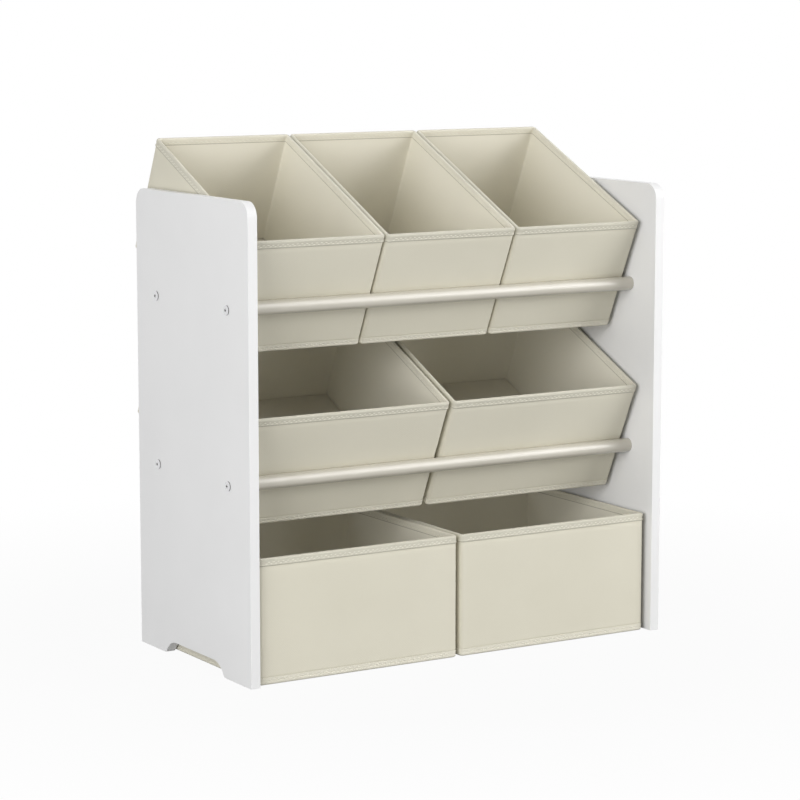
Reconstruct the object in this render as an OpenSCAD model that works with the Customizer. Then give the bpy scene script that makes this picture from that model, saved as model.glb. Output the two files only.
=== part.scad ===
// Kids shelf: two side panels joined by four round rods. The rods carry five tilted
// fabric bins in two tiers, and two level bins stand on the floor between the panels.
// Millimetres. X runs left to right, Y front to back and Z up. The shelf stands on
// z = 0, and x = 0, y = 0 is the middle of its footprint, bins included.

/* [Side panels] */
// Overall width, over the outer faces of the side panels
shelf_w = 623; // [520:1:900]
// Depth of a side panel, from front edge to back edge
panel_d = 302; // [285:1:380]
// Height of a side panel
panel_h = 600; // [570:1:760]
// Thickness of a side panel
panel_t = 13; // [10:0.5:22]
// Radius of the two top corners of a side panel
panel_corner_r = 20; // [4:1:60]
// Height of the arch that parts the front foot from the back foot
arch_h = 17.5; // [10:0.5:26]
// Width of the arch at the floor
arch_w = 164; // [120:1:200]
// Radius of the two hollow corners at the top of the arch
arch_hollow_r = 28; // [18:1:40]
// Radius that rounds each foot into the arch
arch_toe_r = 8; // [4:0.5:14]
// How far the floor cuts into that rounding
toe_cut = 0.5; // [0.2:0.1:2]

/* [Rods] */
// Diameter of a rod
rod_dia = 18; // [14:0.5:25]
// Distance between the axes of the front rod and the rear rod of a tier
rod_spread = 191; // [160:1:215]

/* [Screws] */
// Diameter of a screw head
head_dia = 12.5; // [9:0.5:15]
// Height of a screw head over the panel
head_h = 2.2; // [1.2:0.1:4]
// Length of a slot of the cross recess, from tip to tip
recess_l = 5.6; // [3:0.1:7]
// Width of a slot of the cross recess
recess_w = 1.2; // [0.8:0.1:2]
// Depth of the cross recess
recess_deep = 1.5; // [0.6:0.1:2]
// Diameter of the screw shank
shank_dia = 4.8; // [3.5:0.1:7]
// Depth that a screw reaches into its rod
bite = 37; // [20:1:60]
// Length of the screw's point
point_l = 5; // [2:0.5:9]
// Play between a screw and its hole in the panel, on the radius
hole_gap = 0.3; // [0.1:0.05:1]
// Play between a screw and its pilot bore in the rod, on the radius
bore_gap = 0.05; // [0.02:0.01:0.2]
// Depth of the pilot bore past the screw's point
bore_spare = 3; // [1:0.5:10]

/* [Bins] */
// Tilt of the bins on the rods, in degrees
tilt = 25; // [15:0.5:32]
// Depth of a bin over its front and back walls
bin_d = 273.8; // [240:0.2:300]
// Height of a bin, up to the top of its rim
bin_h = 160; // [120:1:190]
// Radius of a bin's upright corners
bin_corner_r = 5; // [4:0.5:10]
// Radius of a bin's bottom edges
bin_bottom_r = 5; // [3:0.5:10]
// Thickness of one layer of fabric
fabric_t = 0.6; // [0.4:0.1:1.5]
// Thickness of the stiff board inside a wall
board_t = 1.6; // [1:0.1:3]
// Play of a board in its pocket, on each side
board_gap = 0.1; // [0.05:0.05:0.5]
// Thickness of the tape folded over the rim, and of the hem round the bottom
tape_t = 0.6; // [0.4:0.1:1.2]
// Height of the tape on each side of the wall
tape_h = 9.5; // [6:0.5:20]
// Height of the hem round the bottom, and its width on the underside
hem_h = 9.5; // [6:0.5:20]
// Thickness of the loose board on a bin's floor
base_t = 2.4; // [1.5:0.1:5]
// Play round the loose board on a bin's floor
base_gap = 0.8; // [0.3:0.1:3]
// Corner radius of the loose board on a bin's floor
base_corner_r = 3; // [1:0.5:10]

/* [Places of the bins] */
// Gap between the left panel and the bins
left_gap = 3; // [1:0.5:15]
// Gap between the right panel and the bins
right_gap = 6; // [1:0.5:15]
// Gap between the rims of neighbouring narrow bins
narrow_gap = 1.5; // [0.5:0.5:15]
// Gap between the rims of neighbouring wide bins
wide_gap = 5; // [0.5:0.5:15]
// Gap between a tilted bin and the rods that it rests on
seat_gap = 0.3; // [0.1:0.1:1]
// Height of the middle tier's bins over the rims of the floor bins
row_gap = 25; // [5:1:80]
// Gap between a middle bin's rim and the rear rod of the top tier, along the walls
lift_gap = 20; // [5:1:80]
// Distance of the floor bins' rims behind the panels' front edges
front_setback = 9; // [0:1:30]

/* [Hidden] */
$fn = 64;
eps = 0.01;
white = [0.95, 0.95, 0.95];
cream = [0.91, 0.89, 0.82];
cloth = [0.87, 0.85, 0.77];
grey_board = [0.66, 0.61, 0.53];
steel = [0.80, 0.81, 0.83];

inner_w = shelf_w - 2 * panel_t;
clear_w = inner_w - left_gap - right_gap;
narrow_w = (clear_w - 2 * narrow_gap) / 3;
wide_w = (clear_w - wide_gap) / 2;
wall_t = 2 * fabric_t + board_t + 2 * board_gap;
floor_top = tape_t + 2 * fabric_t;
wall_top = bin_h - tape_t;

// Seat of a tilted bin, counted from the middle between its two rods: its front wall
// touches the front rod and its underside touches the rear rod
rod_r = rod_dia / 2;
rod_reach = rod_spread / 2;
seat_along = rod_r + seat_gap - rod_reach * cos(tilt);
seat_up = rod_r + seat_gap - rod_reach * sin(tilt);
seat_y = seat_along * cos(tilt) - seat_up * sin(tilt);
seat_z = seat_along * sin(tilt) + seat_up * cos(tilt);

// Heights of the rods' axes
middle_z = bin_h + row_gap - seat_z;
top_z = middle_z + (bin_h + lift_gap + 2 * rod_r + seat_gap) / cos(tilt);

// Reach of the panels and of the tilted bins to the front and to the back, counted
// from the middle of the panels, and where the middle of the panels then lies
rim_front = seat_y - tape_t * cos(tilt) - bin_h * sin(tilt);
heel_back = seat_y + (bin_d - bin_bottom_r) * cos(tilt)
    + (bin_bottom_r + tape_t) * (1 - sin(tilt));
panel_y = -(min(-panel_d / 2, rim_front) + max(panel_d / 2, heel_back)) / 2;
floor_bin_y = panel_y - panel_d / 2 + front_setback + tape_t;

// Sides of the shelf and the four rods: name, place on Y, height
LEFT = -1;
RIGHT = 1;
RODS = [
    ["top_front_rod", panel_y - rod_reach, top_z],
    ["top_rear_rod", panel_y + rod_reach, top_z],
    ["middle_front_rod", panel_y - rod_reach, middle_z],
    ["middle_rear_rod", panel_y + rod_reach, middle_z]];

// The bins: name, width over the rim, middle on X, tier
TOP = 0;
MIDDLE = 1;
FLOOR = 2;
bins_left = left_gap - inner_w / 2;
function narrow_x(i) = bins_left + narrow_w / 2 + i * (narrow_w + narrow_gap);
function wide_x(i) = bins_left + wide_w / 2 + i * (wide_w + wide_gap);
BINS = [
    ["top_left_bin", narrow_w, narrow_x(0), TOP],
    ["top_centre_bin", narrow_w, narrow_x(1), TOP],
    ["top_right_bin", narrow_w, narrow_x(2), TOP],
    ["middle_left_bin", wide_w, wide_x(0), MIDDLE],
    ["middle_right_bin", wide_w, wide_x(1), MIDDLE],
    ["floor_left_bin", wide_w, wide_x(0), FLOOR],
    ["floor_right_bin", wide_w, wide_x(1), FLOOR]];

// Rectangle round the origin with rounded corners
module round_plate(size, r) {
    square([size.x - 2 * r, size.y], center = true);
    square([size.x, size.y - 2 * r], center = true);
    for (sx = [-1, 1], sy = [-1, 1])
        translate([sx * (size.x / 2 - r), sy * (size.y / 2 - r)]) circle(r);
}

// Side panels

// The arch seen from the side: a flat top, two hollow corners that turn down and two
// rounded toes that turn out into the feet
module arch() {
    toe_z = arch_toe_r - toe_cut;
    toe_y = arch_w / 2 + sqrt(arch_toe_r * arch_toe_r - toe_z * toe_z);
    hollow_z = arch_h - arch_hollow_r;
    span = arch_hollow_r + arch_toe_r;
    run = sqrt(span * span - pow(toe_z - hollow_z, 2));
    flat_y = toe_y - run;
    turn_z = hollow_z + arch_hollow_r / span * (toe_z - hollow_z);
    below = arch_h;
    translate([-flat_y, -below]) square([2 * flat_y, arch_h + below]);
    for (side = [-1, 1])
        translate([side * flat_y, hollow_z]) circle(arch_hollow_r);
    difference() {
        translate([-toe_y, -below]) square([2 * toe_y, turn_z + below]);
        for (side = [-1, 1])
            translate([side * toe_y, toe_z]) circle(arch_toe_r);
    }
}

// Outline of a side panel on its depth and height
module panel_outline() {
    difference() {
        union() {
            translate([-panel_d / 2, 0]) square([panel_d, panel_h - panel_corner_r]);
            translate([-panel_d / 2 + panel_corner_r, 0])
                square([panel_d - 2 * panel_corner_r, panel_h]);
            for (side = [-1, 1])
                translate([side * (panel_d / 2 - panel_corner_r),
                           panel_h - panel_corner_r])
                    circle(panel_corner_r);
        }
        arch();
    }
}

module side_panel(side) {
    color(white)
    translate([side * (shelf_w - panel_t) / 2, 0, 0])
    difference() {
        translate([-panel_t / 2, panel_y, 0])
            rotate([90, 0, 90]) linear_extrude(panel_t) panel_outline();
        for (r = RODS)
            translate([-panel_t, r[1], r[2]]) rotate([0, 90, 0])
                cylinder(h = 2 * panel_t, d = shank_dia + 2 * hole_gap);
    }
}

// Rods and their screws

// Round rod between the panels, with a pilot bore for a screw in each end
module rod(r) {
    bore_l = bite + bore_spare;
    color(cream)
    translate([0, r[1], r[2]]) rotate([0, 90, 0])
    difference() {
        cylinder(h = inner_w, d = rod_dia, center = true);
        for (side = [LEFT, RIGHT])
            translate([0, 0, side * (inner_w / 2 - bore_l / 2 + eps)])
                cylinder(h = bore_l + 2 * eps, d = shank_dia + 2 * bore_gap,
                         center = true);
    }
}

// Wood screw along +Z, the flat underside of its domed head at z = 0 and its point up
module screw() {
    dome_r = (pow(head_dia / 2, 2) + head_h * head_h) / (2 * head_h);
    body_l = panel_t + bite - point_l;
    difference() {
        union() {
            intersection() {
                translate([0, 0, dome_r - head_h]) sphere(dome_r);
                translate([0, 0, -head_h]) cylinder(h = head_h, d = head_dia);
            }
            cylinder(h = body_l, d = shank_dia);
            translate([0, 0, body_l])
                cylinder(h = point_l, d1 = shank_dia, d2 = shank_dia / 8);
        }
        for (turn = [0, 90])
            translate([0, 0, -head_h - eps]) rotate([0, 0, turn])
                translate([-recess_l / 2, -recess_w / 2, 0])
                    cube([recess_l, recess_w, recess_deep + eps]);
    }
}

module rod_screws(side) {
    color(steel)
    for (r = RODS)
        translate([side * shelf_w / 2, r[1], r[2]])
            rotate([0, -side * 90, 0]) screw();
}

// Bins. Each is drawn level, its middle at x = 0, the face of its front wall at y = 0
// and the underside of its hem at z = 0. w is its width over the rim.

// Closed body of the bin up to a height, with upright corners and bottom edges rounded,
// and grown on all sides and below: by nothing for the walls, by a tape for the hem
module bin_body(w, grow, high) {
    size = [w - 2 * tape_t + 2 * grow, bin_d + 2 * grow];
    low = tape_t - grow;
    tall = 2 * (high - low);
    bottom_r = bin_bottom_r + grow;
    intersection() {
        bin_block(w, -grow, bin_corner_r + grow, low, high);
        translate([0, bin_d + grow, high]) rotate([90, 0, 0])
            linear_extrude(size.y) round_plate([size.x, tall], bottom_r);
        translate([-size.x / 2, bin_d / 2, high]) rotate([90, 0, 90])
            linear_extrude(size.x) round_plate([size.y, tall], bottom_r);
    }
}

// Block with the bin's plan, inset on all four sides and rounded at its corners
module bin_block(w, inset, r, low, high) {
    translate([0, bin_d / 2, low])
        linear_extrude(high - low)
            round_plate([w - 2 * tape_t - 2 * inset, bin_d - 2 * inset], r);
}

// Board, or the pocket for it with play, in each of the four walls
module wall_inserts(w, play, high) {
    wall_w = w - 2 * tape_t;
    thick = board_t + 2 * play;
    middle = wall_t / 2;
    low = tape_t + bin_bottom_r;
    wide = wall_w - 2 * bin_corner_r + 2 * play;
    deep = bin_d - 2 * bin_corner_r + 2 * play;
    for (y = [middle, bin_d - middle])
        translate([-wide / 2, y - thick / 2, low]) cube([wide, thick, high - low]);
    for (x = [middle - wall_w / 2, wall_w / 2 - middle])
        translate([x - thick / 2, (bin_d - deep) / 2, low])
            cube([thick, deep, high - low]);
}

// Outer fabric and lining, sewn into one: a double floor, walls with a pocket in each,
// and a hem folded round the bottom edge, on which the bin stands
module bin_fabric(w) {
    color(cloth)
    difference() {
        union() {
            bin_body(w, 0, wall_top);
            bin_body(w, tape_t, hem_h);
        }
        bin_block(w, hem_h - tape_t, bin_corner_r, -tape_t, tape_t);
        bin_block(w, wall_t, bin_corner_r - wall_t, floor_top, bin_h);
        wall_inserts(w, board_gap, bin_h);
    }
}

// Four stiff boards in the pockets, each standing on the foot of its pocket
module bin_wall_boards(w) {
    color(grey_board) wall_inserts(w, 0, wall_top - board_gap);
}

// Tape folded over the rim, which closes the pockets
module bin_rim_tape(w) {
    inner_r = max(bin_corner_r - wall_t - tape_t, tape_t);
    color(cloth)
    difference() {
        bin_block(w, -tape_t, bin_corner_r + tape_t, bin_h - tape_h, bin_h);
        bin_block(w, wall_t + tape_t, inner_r, bin_h - tape_h - eps, bin_h + eps);
        difference() {
            bin_block(w, 0, bin_corner_r, bin_h - tape_h - eps, wall_top);
            bin_block(w, wall_t, bin_corner_r - wall_t, bin_h - tape_h - 2 * eps, bin_h);
        }
    }
}

// Loose board on the floor of the bin
module bin_base_board(w) {
    color(cloth)
    bin_block(w, wall_t + base_gap, base_corner_r, floor_top, floor_top + base_t);
}

// Puts a bin on its rods or on the floor
module place(b) {
    if (b[3] == FLOOR)
        translate([b[2], floor_bin_y, 0]) children();
    else
        translate([b[2], panel_y + seat_y, seat_z + (b[3] == TOP ? top_z : middle_z)])
            rotate([tilt, 0, 0]) children();
}

side_panel(LEFT);  // left_side_panel
side_panel(RIGHT);  // right_side_panel
for (r = RODS)
    rod(r);
rod_screws(LEFT);  // left_rod_screws
rod_screws(RIGHT);  // right_rod_screws
for (b = BINS) {
    place(b) bin_fabric(b[1]);
    place(b) bin_wall_boards(b[1]);
    place(b) bin_rim_tape(b[1]);
    place(b) bin_base_board(b[1]);
}
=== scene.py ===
"""Looks of a kids shelf: two white side panels, four cream rods and seven sewn fabric bins.

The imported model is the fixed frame, and every piece is modelled around it, in metres. Bins
are sewn level at the origin and then set on their rods or on the floor.
"""

from __future__ import annotations

import logging
import math
from collections.abc import Callable, Iterator, Sequence
from contextlib import contextmanager
from dataclasses import dataclass
from enum import Enum

import bmesh
import bpy
from mathutils import Euler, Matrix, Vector

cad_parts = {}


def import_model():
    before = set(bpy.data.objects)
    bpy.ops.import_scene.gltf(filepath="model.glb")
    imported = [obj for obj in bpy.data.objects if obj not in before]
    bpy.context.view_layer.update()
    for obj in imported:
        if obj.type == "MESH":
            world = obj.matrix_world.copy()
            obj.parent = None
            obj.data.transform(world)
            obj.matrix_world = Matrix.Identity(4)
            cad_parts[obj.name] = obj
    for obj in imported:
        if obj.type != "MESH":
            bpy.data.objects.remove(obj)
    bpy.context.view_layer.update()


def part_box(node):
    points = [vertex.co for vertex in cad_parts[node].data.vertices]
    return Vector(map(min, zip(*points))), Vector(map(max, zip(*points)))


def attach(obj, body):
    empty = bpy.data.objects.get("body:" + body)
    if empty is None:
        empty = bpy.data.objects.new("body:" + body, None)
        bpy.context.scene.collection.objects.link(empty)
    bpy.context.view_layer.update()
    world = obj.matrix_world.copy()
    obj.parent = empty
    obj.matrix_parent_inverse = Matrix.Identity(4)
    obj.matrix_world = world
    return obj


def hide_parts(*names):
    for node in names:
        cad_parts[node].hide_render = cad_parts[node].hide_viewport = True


LOG = logging.getLogger("kids_shelf")
MM = 0.001
NEAR = 0.05 * MM
SHARP_ANGLE = math.radians(32)
EASED_ANGLE = math.radians(40)
Colour = tuple[float, float, float]


class Side(Enum):
    """The two side panels, and the way that each faces along X."""

    LEFT = -1
    RIGHT = 1

    @property
    def label(self) -> str:
        """The side's name in node names."""
        return self.name.lower()


class Stance(Enum):
    """How a bin stands: tilted on two rods, or level on the floor."""

    TOP_RODS = "top"
    MIDDLE_RODS = "middle"
    FLOOR = "floor"


class Blank:
    """A mesh on the bench, shaped with edit-mode operators and applied modifiers."""

    def __init__(self, obj: bpy.types.Object, name: str) -> None:
        """Take an object that was just added and bring its place into its mesh.

        Args:
            obj: The new object.
            name: Its name, and its mesh's.
        """
        self.obj = obj
        obj.name = name
        obj.data.name = name
        self.settle()

    @classmethod
    def block(cls, name: str, low: Sequence[float], high: Sequence[float]) -> Blank:
        """Start from a cube between two corners.

        Args:
            name: Name of the piece.
            low: Lowest corner.
            high: Highest corner.

        Returns:
            The new blank.
        """
        clear_selection()
        low, high = Vector(low), Vector(high)
        bpy.ops.mesh.primitive_cube_add(size=1.0, location=(low + high) / 2, scale=high - low)
        return cls(bpy.context.active_object, name)

    @classmethod
    def bar(cls, name: str, radius: float, length: float, sides: int) -> Blank:
        """Start from a cylinder on the Z axis that stands on z = 0.

        Args:
            name: Name of the piece.
            radius: Radius of the bar.
            length: Length along Z.
            sides: Number of its sides.

        Returns:
            The new blank.
        """
        clear_selection()
        bpy.ops.mesh.primitive_cylinder_add(
            vertices=sides, radius=radius, depth=length, location=(0, 0, length / 2)
        )
        return cls(bpy.context.active_object, name)

    @classmethod
    def ball(cls, name: str, size: Sequence[float], centre: Sequence[float]) -> Blank:
        """Start from a ball of few faces, drawn out to a size.

        Args:
            name: Name of the piece.
            size: Its three diameters.
            centre: Its middle.

        Returns:
            The new blank.
        """
        clear_selection()
        bpy.ops.mesh.primitive_uv_sphere_add(
            segments=6, ring_count=4, radius=0.5, location=centre, scale=size
        )
        return cls(bpy.context.active_object, name)

    @contextmanager
    def editing(self) -> Iterator[None]:
        """Edit mode on this mesh alone, with nothing selected at first."""
        self.activate()
        bpy.ops.object.mode_set(mode="EDIT")
        bpy.ops.mesh.select_all(action="DESELECT")
        try:
            yield
        finally:
            bpy.ops.object.mode_set(mode="OBJECT")

    def activate(self) -> None:
        """Make this the only selected object, and the active one."""
        clear_selection()
        self.obj.select_set(True)
        bpy.context.view_layer.objects.active = self.obj

    def settle(self) -> None:
        """Apply the object's place, turn and scale to its mesh."""
        self.activate()
        bpy.ops.object.transform_apply(location=True, rotation=True, scale=True)

    def pick(self, kind: str, test: Callable[[object], bool]) -> None:
        """Select the elements of one kind that pass a test, in edit mode.

        Args:
            kind: FACE, EDGE or VERT.
            test: Takes the element.
        """
        bpy.ops.mesh.select_mode(type=kind)
        bpy.ops.mesh.select_all(action="DESELECT")
        mesh = bmesh.from_edit_mesh(self.obj.data)
        for element in {"FACE": mesh.faces, "EDGE": mesh.edges, "VERT": mesh.verts}[kind]:
            element.select_set(test(element))
        if kind == "VERT":
            mesh.select_flush_mode()
        bmesh.update_edit_mesh(self.obj.data)

    def pick_faces(self, test: Callable[[Vector, Vector], bool]) -> None:
        """Select the faces that pass a test of their middle and their normal."""
        self.pick("FACE", lambda face: test(face.calc_center_median(), face.normal))

    def pick_edges(self, test: Callable[[Vector, Vector], bool]) -> None:
        """Select the edges that pass a test of the places of their two ends."""
        self.pick("EDGE", lambda edge: test(edge.verts[0].co, edge.verts[1].co))

    def pick_points(self, test: Callable[[Vector], bool]) -> None:
        """Select the vertices that pass a test of their place."""
        self.pick("VERT", lambda point: test(point.co))

    def round_edges(self, width: float, segments: int) -> None:
        """Round the selected edges from a distance on each side, in so many flats."""
        bpy.ops.mesh.bevel(
            offset=width, segments=segments, profile=0.5, affect="EDGES", clamp_overlap=False
        )

    def slice(self, axis: int, places: Sequence[float]) -> None:
        """Cut the whole mesh by planes square to an axis, keeping all of it.

        Args:
            axis: 0, 1 or 2 for X, Y or Z.
            places: Where the planes cross the axis.
        """
        normal = Vector((0, 0, 0))
        normal[axis] = 1.0
        for place in places:
            bpy.ops.mesh.select_all(action="SELECT")
            bpy.ops.mesh.bisect(plane_co=normal * place, plane_no=normal)
        bpy.ops.mesh.select_all(action="DESELECT")

    def divide(self, axis: int, pitch: float, shortest: float = 20 * MM) -> None:
        """Divide the long edges that run along an axis into even lengths.

        Args:
            axis: 0, 1 or 2 for X, Y or Z.
            pitch: Largest length that is left.
            shortest: Edges below this length stay whole.
        """
        lengths = []

        def runs(a: Vector, b: Vector) -> bool:
            """Tell an edge that runs along the axis, and keep its length."""
            length = (b - a).length
            found = length > shortest and abs((b - a)[axis]) > 0.999 * length
            if found:
                lengths.append(length)
            return found

        self.pick_edges(runs)
        if lengths:
            bpy.ops.mesh.subdivide(number_cuts=math.ceil(max(lengths) / pitch) - 1)
        bpy.ops.mesh.select_all(action="DESELECT")

    def modify(self, kind: str, **settings: object) -> None:
        """Add a modifier and apply it.

        Args:
            kind: The modifier's type.
            **settings: Its settings.
        """
        self.activate()
        modifier = self.obj.modifiers.new(kind.lower(), kind)
        for key, value in settings.items():
            setattr(modifier, key, value)
        bpy.ops.object.modifier_apply(modifier=modifier.name)

    def ease(self, width: float, segments: int = 3) -> None:
        """Break every sharp edge by a small rounding of so many flats."""
        self.modify("BEVEL", width=width, segments=segments, limit_method="ANGLE",
                    angle_limit=EASED_ANGLE, use_clamp_overlap=True)

    def cut_with(self, cutter: Blank) -> None:
        """Take another shape away from this one, and discard it."""
        self.modify("BOOLEAN", operation="DIFFERENCE", solver="EXACT", object=cutter.obj)
        bpy.data.objects.remove(cutter.obj)

    def absorb(self, others: Sequence[Blank]) -> None:
        """Join other pieces into this one.

        Args:
            others: The pieces to take in.
        """
        self.activate()
        for other in others:
            other.obj.select_set(True)
        bpy.ops.object.join()

    def turn_and_place(self, turn: Euler, place: Sequence[float]) -> None:
        """Turn the piece about the origin, move it, and apply both to its mesh.

        Args:
            turn: Rotation about the origin.
            place: Where the origin goes.
        """
        self.obj.rotation_euler = turn
        self.obj.location = place
        self.settle()

    def twin(self, name: str) -> Blank:
        """Copy the piece, with a mesh of its own.

        Args:
            name: Name of the copy.

        Returns:
            The copy.
        """
        obj = self.obj.copy()
        obj.data = self.obj.data.copy()
        bpy.context.scene.collection.objects.link(obj)
        return Blank(obj, name)

    def unwrap(self) -> None:
        """Lay the cloth pattern on each side of the piece, one unit for each metre."""
        with self.editing():
            bpy.ops.mesh.select_all(action="SELECT")
            bpy.ops.uv.cube_project(cube_size=1.0, correct_aspect=False)

    def smooth(self, weighted: bool = True) -> None:
        """Shade smooth except at sharp edges.

        Args:
            weighted: Let large flat faces keep their own normals.
        """
        self.activate()
        bpy.ops.object.shade_smooth_by_angle(angle=SHARP_ANGLE)
        if weighted:
            self.modify("WEIGHTED_NORMAL", keep_sharp=True)

    def finish(self, finish: Finish) -> None:
        """Give the whole piece one finish."""
        self.obj.data.materials.clear()
        self.obj.data.materials.append(finish.material())

    def touch_up(self, finish: Finish, test: Callable[[Vector, Vector], bool]) -> None:
        """Give a few faces another finish.

        Args:
            finish: The finish.
            test: Takes a face's middle and its normal.
        """
        self.obj.data.materials.append(finish.material())
        for face in self.obj.data.polygons:
            if test(face.center, face.normal):
                face.material_index = len(self.obj.data.materials) - 1


def clear_selection() -> None:
    """Leave nothing selected."""
    bpy.ops.object.select_all(action="DESELECT")


class Nodes:
    """A small builder for one material's node tree."""

    def __init__(self, name: str) -> None:
        """Start an empty material with a shader and an output.

        Args:
            name: Name of the material.
        """
        self.made = bpy.data.materials.new(name)
        self.made.use_nodes = True
        self.tree = self.made.node_tree
        self.shader = self.tree.nodes["Principled BSDF"]

    def add(self, kind: str, **values: object) -> bpy.types.Node:
        """Add a node.

        Args:
            kind: The node's type, without its usual prefix.
            **values: Its own settings.

        Returns:
            The node.
        """
        node = self.tree.nodes.new("ShaderNode" + kind)
        for key, value in values.items():
            setattr(node, key, value)
        return node

    def link(self, start: bpy.types.NodeSocket, end: bpy.types.NodeSocket) -> None:
        """Join an output to an input."""
        self.tree.links.new(start, end)

    def place(self, source: str, turn: float = 0.0, stretch: Sequence[float] = (1, 1, 1)
              ) -> bpy.types.NodeSocket:
        """Coordinates for a pattern.

        Args:
            source: Object or UV.
            turn: Turn about the third axis, in radians.
            stretch: Scale along each axis.

        Returns:
            The coordinates.
        """
        coordinates = self.add("TexCoord")
        mapping = self.add("Mapping")
        mapping.inputs["Rotation"].default_value = (0, 0, turn)
        mapping.inputs["Scale"].default_value = stretch
        self.link(coordinates.outputs[source], mapping.inputs["Vector"])
        return mapping.outputs["Vector"]

    def noise(self, where: bpy.types.NodeSocket, size: float, detail: float = 2.0,
              roughness: float = 0.5) -> bpy.types.NodeSocket:
        """Soft random pattern.

        Args:
            where: Its coordinates.
            size: Size of its largest blotches, in metres.
            detail: Number of finer layers.
            roughness: Strength of the finer layers.

        Returns:
            A value round 0.5.
        """
        noise = self.add("TexNoise")
        noise.inputs["Scale"].default_value = 1 / size
        noise.inputs["Detail"].default_value = detail
        noise.inputs["Roughness"].default_value = roughness
        self.link(where, noise.inputs["Vector"])
        return noise.outputs["Fac"]

    def dots(self, where: bpy.types.NodeSocket, pitch: float) -> bpy.types.NodeSocket:
        """Regular grid of small dimples.

        Args:
            where: Its coordinates.
            pitch: Distance between dimples, in metres.

        Returns:
            Distance from the nearest dimple's middle, in pitches.
        """
        cells = self.add("TexVoronoi", feature="F1")
        cells.inputs["Scale"].default_value = 1 / pitch
        cells.inputs["Randomness"].default_value = 0.0
        self.link(where, cells.inputs["Vector"])
        return cells.outputs["Distance"]

    def spread(self, value: bpy.types.NodeSocket, low: float, high: float,
               to_low: float, to_high: float) -> bpy.types.NodeSocket:
        """Stretch a value from one range to another, held within it.

        Args:
            value: The value.
            low: Lower end of the old range.
            high: Upper end of the old range.
            to_low: Lower end of the new range.
            to_high: Upper end of the new range.

        Returns:
            The new value.
        """
        ramp = self.add("MapRange")
        for key, number in (("From Min", low), ("From Max", high),
                            ("To Min", to_low), ("To Max", to_high)):
            ramp.inputs[key].default_value = number
        self.link(value, ramp.inputs["Value"])
        return ramp.outputs["Result"]

    def tint(self, value: bpy.types.NodeSocket, first: Colour, second: Colour,
             reach: float = 0.15) -> None:
        """Colour the surface between two tones.

        Args:
            value: A value round 0.5.
            first: Tone at a low value.
            second: Tone at a high value.
            reach: How far the value lies from 0.5 where a tone is pure.
        """
        mix = self.add("Mix", data_type="RGBA")
        mix.inputs[6].default_value = (*first, 1)
        mix.inputs[7].default_value = (*second, 1)
        share = self.spread(value, 0.5 - reach, 0.5 + reach, 0, 1)
        self.link(share, mix.inputs["Factor"])
        self.link(mix.outputs[2], self.shader.inputs["Base Color"])

    def relief(self, *layers: tuple[bpy.types.NodeSocket, float]) -> None:
        """Raise the surface by one or more heights.

        Args:
            *layers: A height from 0 to 1 and its real depth in metres, for each layer.
        """
        normal = None
        for height, depth in layers:
            bump = self.add("Bump")
            bump.inputs["Distance"].default_value = depth
            self.link(height, bump.inputs["Height"])
            if normal is not None:
                self.link(normal, bump.inputs["Normal"])
            normal = bump.outputs["Normal"]
        self.link(normal, self.shader.inputs["Normal"])

    def gloss(self, value: bpy.types.NodeSocket, low: float, high: float) -> None:
        """Vary the roughness between two numbers by a value round 0.5."""
        self.link(self.spread(value, 0.3, 0.7, low, high), self.shader.inputs["Roughness"])

    def set(self, values: dict[str, float]) -> None:
        """Set the shader's own sockets, by name."""
        for key, value in values.items():
            self.shader.inputs[key].default_value = value


@dataclass(frozen=True)
class Finish:
    """A finish: its name, the record's slot that it belongs to, and two close tones."""

    name: str
    slot: str
    tone: Colour
    deep_tone: Colour

    def material(self) -> bpy.types.Material:
        """The material, made once and then reused."""
        return bpy.data.materials.get(self.name) or self.build()

    def build(self) -> bpy.types.Material:
        """Make the material."""
        raise NotImplementedError


@dataclass(frozen=True)
class Laminate(Finish):
    """Smooth melamine on board, with a faint orange peel."""

    peel: float = 0.9 * MM
    peel_depth: float = 0.012 * MM

    def build(self) -> bpy.types.Material:
        """Make the material."""
        nodes = Nodes(self.name)
        where = nodes.place("Object")
        cloud = nodes.noise(where, 140 * MM)
        nodes.tint(cloud, self.tone, self.deep_tone)
        nodes.gloss(nodes.noise(where, 35 * MM, 3), 0.36, 0.46)
        nodes.relief((nodes.noise(where, self.peel, 1), self.peel_depth))
        nodes.set({"Specular IOR Level": 0.4})
        return nodes.made


@dataclass(frozen=True)
class SatinPaint(Finish):
    """Sprayed satin paint on turned wood: faint long grain under a soft gloss."""

    grain: float = 1.4 * MM
    grain_depth: float = 0.03 * MM

    def build(self) -> bpy.types.Material:
        """Make the material."""
        nodes = Nodes(self.name)
        along = nodes.place("Object", stretch=(0.04, 1, 1))
        grain = nodes.noise(along, self.grain, 3)
        cloud = nodes.noise(nodes.place("Object"), 60 * MM)
        nodes.tint(cloud, self.tone, self.deep_tone)
        nodes.gloss(cloud, 0.34, 0.42)
        peel = nodes.noise(nodes.place("Object"), 0.8 * MM, 1)
        nodes.relief((grain, self.grain_depth), (peel, 0.01 * MM))
        nodes.set({"Specular IOR Level": 0.5, "Coat Weight": 1.0, "Coat Roughness": 0.2})
        return nodes.made


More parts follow.
